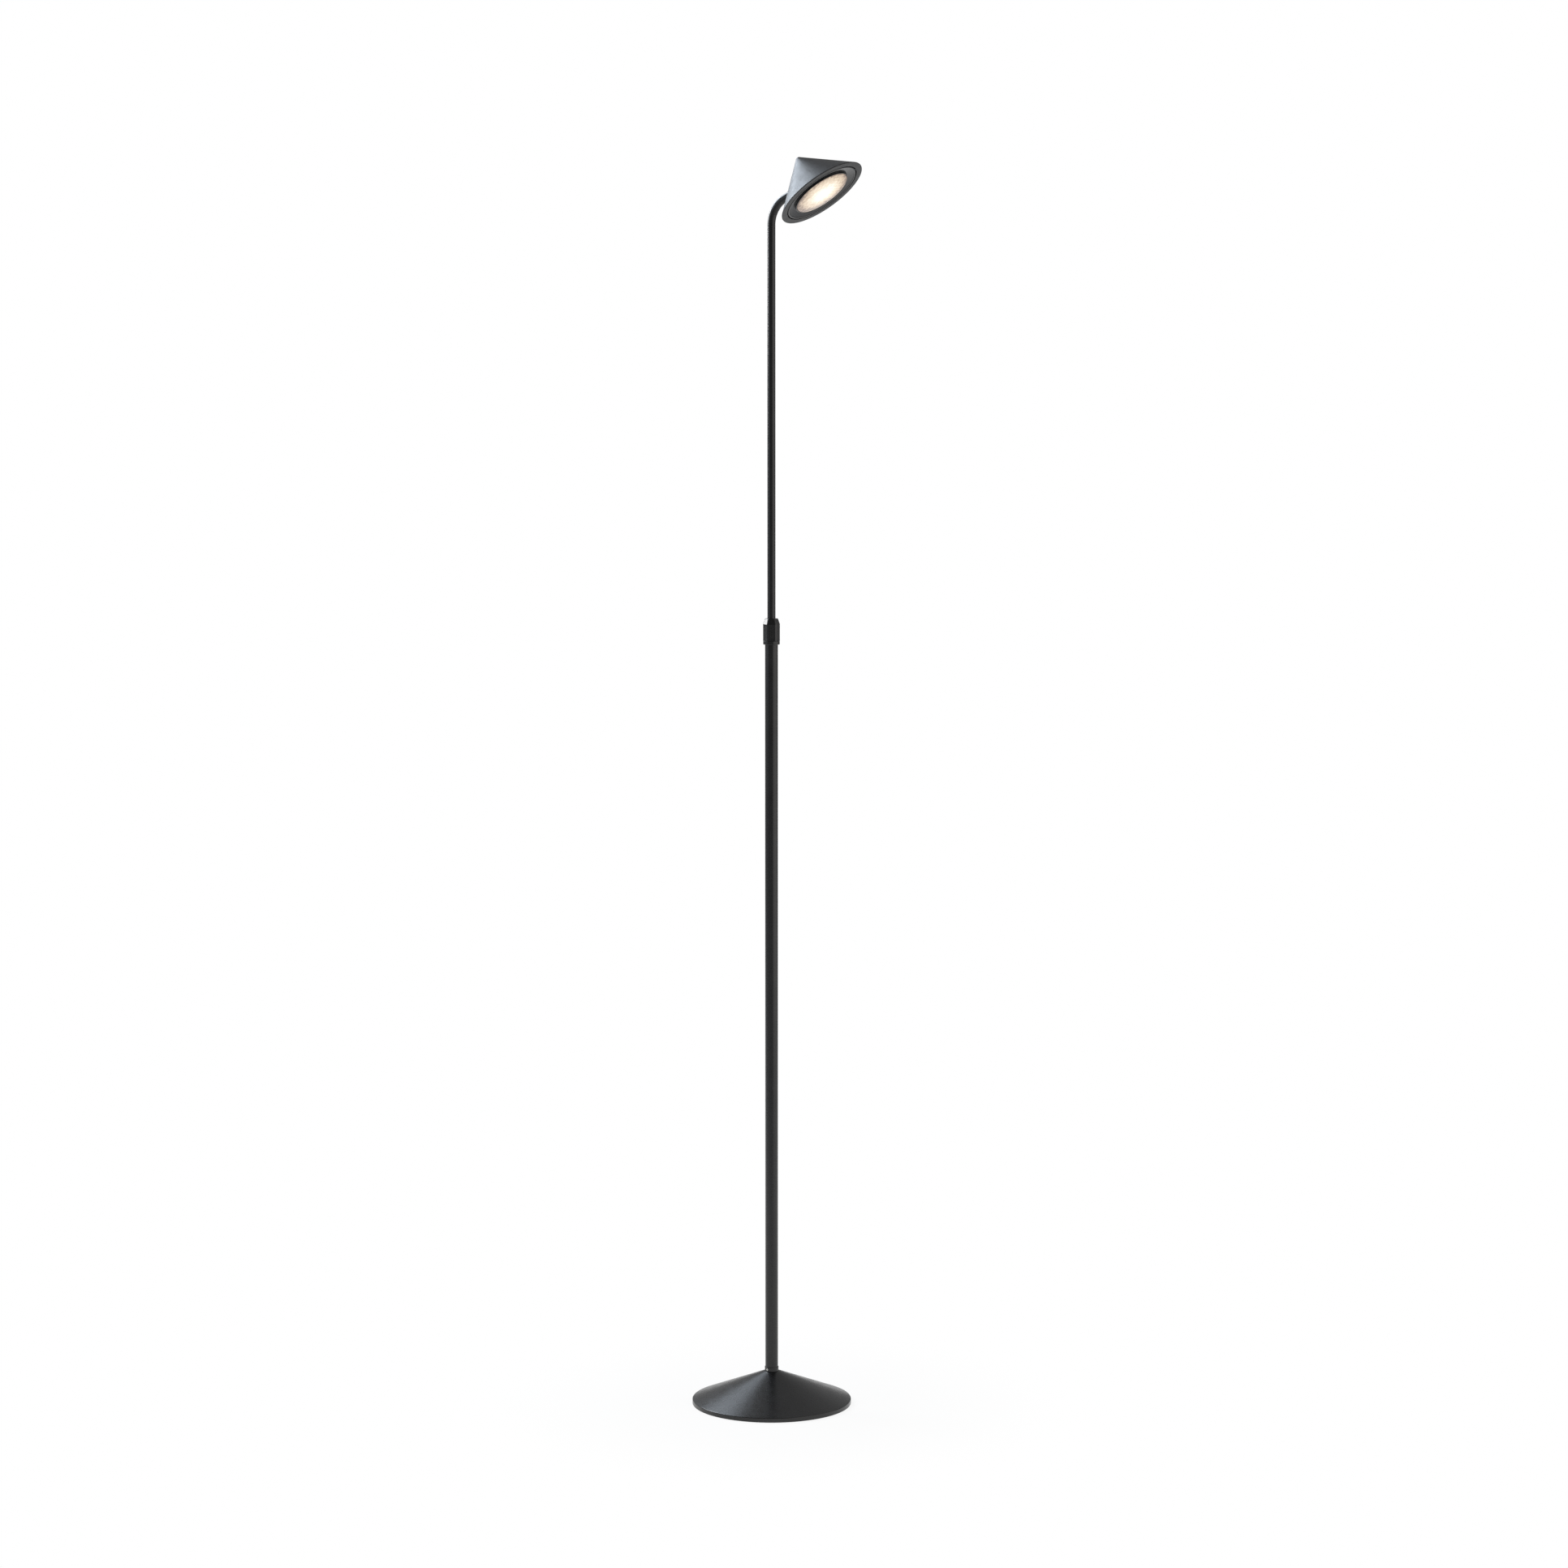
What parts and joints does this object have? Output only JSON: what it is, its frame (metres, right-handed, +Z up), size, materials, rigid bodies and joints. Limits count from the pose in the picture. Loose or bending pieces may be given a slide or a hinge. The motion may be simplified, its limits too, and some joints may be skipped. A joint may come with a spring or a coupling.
{
  "type": "telescopic floor lamp",
  "caption": "Slim telescopic floor lamp with a conical foot, a sliding upper pole locked by a nut, a bent neck and a small tilting cone head.",
  "frame": {"origin": "centre of the foot's underside, on the floor under the pole", "axes": "+Z up along the pole, +X the side that the head leans to"},
  "size_m": [0.2172, 0.2, 1.5584],
  "materials": {
    "black_coat": "satin black powder coat",
    "iron": "bare casting",
    "steel": "zinc plated steel",
    "aluminium": "bare aluminium",
    "rubber": "matt black rubber",
    "black_plastic": "black nylon",
    "white_plastic": "white plastic",
    "lead": "grey cable sheath",
    "lens": "clear lens, lit warm white",
    "emitter": "lit light source"
  },
  "bodies": {
    "stand": {"base_cover": "black_coat", "base_weight": "iron", "bottom_plate": "steel", "bottom_screws": "steel", "base_pad": "rubber", "foot_plug": "steel", "base_washer": "steel", "base_nut": "steel", "foot_ring": "black_coat", "grub_screw": "steel", "cord_grommet": "rubber", "cord_clamp": "black_plastic", "clamp_screws": "steel", "led_driver": "white_plastic", "driver_screws": "steel", "base_lead": "lead", "lower_tube": "black_coat", "clamp_body": "black_coat", "tube_guide": "black_plastic", "collet": "black_plastic", "coil_lead": "lead"},
    "lock_nut": {"lock_nut": "black_coat"},
    "glide": {"guide_bush": "black_plastic"},
    "stem": {"upper_tube": "black_coat", "stop_ring": "steel", "stem_circlip": "steel", "stem_lead": "lead", "pivot_block": "steel", "block_screw": "steel", "pivot_sleeve": "steel", "friction_discs": "black_plastic", "axle_washers": "steel", "axle_nuts": "steel"},
    "head": {"shade": "black_coat", "shade_lugs": "steel", "heat_plate": "aluminium", "plate_screws": "steel", "pivot_yoke": "steel", "yoke_screws": "steel", "heat_sink": "aluminium", "terminal_block": "white_plastic", "head_lead": "lead", "board_lead": "lead", "led_board": "white_plastic", "board_screws": "steel", "led_emitter": "emitter", "reflector": "aluminium", "lens_gasket": "rubber", "glass_lens": "lens", "trim_ring": "black_coat", "trim_clips": "steel"}
  },
  "joints": [
    {"name": "nut_turn", "type": "hinge", "parent": "stand", "child": "lock_nut", "pos_m": [0, 0, 0.97955], "axis": [0, 0, 1], "range_deg": [0, 120]},
    {"name": "stem_slide", "type": "slide", "parent": "stand", "child": "glide", "axis": [0, 0, 1], "range_m": [-0.46, 0], "deforming": ["coil_lead"]},
    {"name": "stem_turn", "type": "hinge", "parent": "glide", "child": "stem", "pos_m": [0, 0, 0.9], "axis": [0, 0, 1], "range_deg": [-170, 170]},
    {"name": "head_tilt", "type": "hinge", "parent": "stem", "child": "head", "pos_m": [0.04334, 0, 1.52097], "axis": [0, -1, 0], "range_deg": [-15, 40]}
  ]
}
